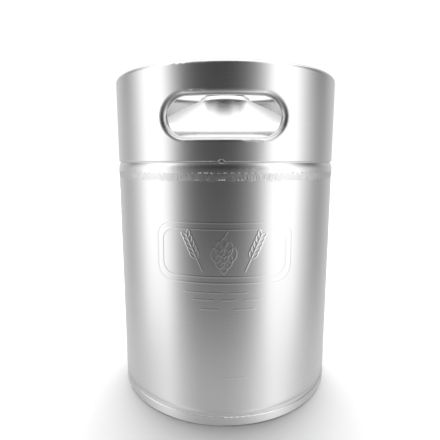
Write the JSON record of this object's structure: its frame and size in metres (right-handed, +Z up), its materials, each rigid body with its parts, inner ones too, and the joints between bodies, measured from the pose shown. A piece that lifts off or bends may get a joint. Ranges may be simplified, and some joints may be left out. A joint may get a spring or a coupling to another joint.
{
  "type": "beer keg",
  "caption": "Upright cylindrical steel keg with a flush collar, hand holes, a domed shoulder and a threaded neck closed by a screw cap with a pull-ring relief valve.",
  "frame": {"origin": "centre of the foot ring's resting plane, on the keg's axis", "axes": "+Z up along the keg's axis, towards the cap; -Y is the front, with the drain notch; the hand holes face -Y and +Y"},
  "size_m": [0.2134, 0.2134, 0.3192],
  "materials": {
    "brushed_body": "fine vertical satin",
    "polished_dome": "bright drawn",
    "weld_bead": "brushed weld bead",
    "turned_steel": "turned",
    "valve_steel": "turned, bright",
    "spring_wire": "drawn wire",
    "seal_rubber": "matt black silicone"
  },
  "bodies": {
    "vessel": {"body_cup": "brushed_body", "foot_ring": "brushed_body", "foot_weld": "weld_bead", "shoulder_dome": "polished_dome", "girth_weld": "weld_bead", "handle_collar": "brushed_body", "collar_weld": "weld_bead", "neck_fitting": "turned_steel", "neck_weld": "weld_bead"},
    "gasket": {"cap_gasket": "seal_rubber"},
    "cap": {"cap_shell": "turned_steel", "relief_body": "valve_steel", "relief_washer": "seal_rubber", "relief_lock_washer": "valve_steel", "relief_nut": "valve_steel", "relief_bonnet": "valve_steel", "relief_spring": "spring_wire"},
    "relief_plunger": {"relief_stem": "valve_steel", "relief_seal": "seal_rubber"},
    "pull_ring": {"pull_ring": "spring_wire"}
  },
  "joints": [
    {"name": "cap_rise", "type": "slide", "parent": "vessel", "child": "gasket", "axis": [0, 0, 1], "range_m": [0, 0.00751]},
    {"name": "cap_turn", "type": "hinge", "parent": "gasket", "child": "cap", "pos_m": [0, 0, 0.301], "axis": [0, 0, 1], "range_deg": [0, 900]},
    {"name": "relief_lift", "type": "slide", "parent": "cap", "child": "relief_plunger", "axis": [0, 0, 1], "range_m": [0, 0.003], "stiffness_N_per_m": 1000, "springref_m": -0.008, "deforming": ["relief_spring"]},
    {"name": "ring_swing", "type": "hinge", "parent": "relief_plunger", "child": "pull_ring", "pos_m": [0, 0, 0.3166], "axis": [1, 0, 0], "range_deg": [0, 220]}
  ],
  "couplings": [
    {"joint": "cap_rise", "follows": "cap_turn", "m_per_rad": 0.00047746}
  ]
}
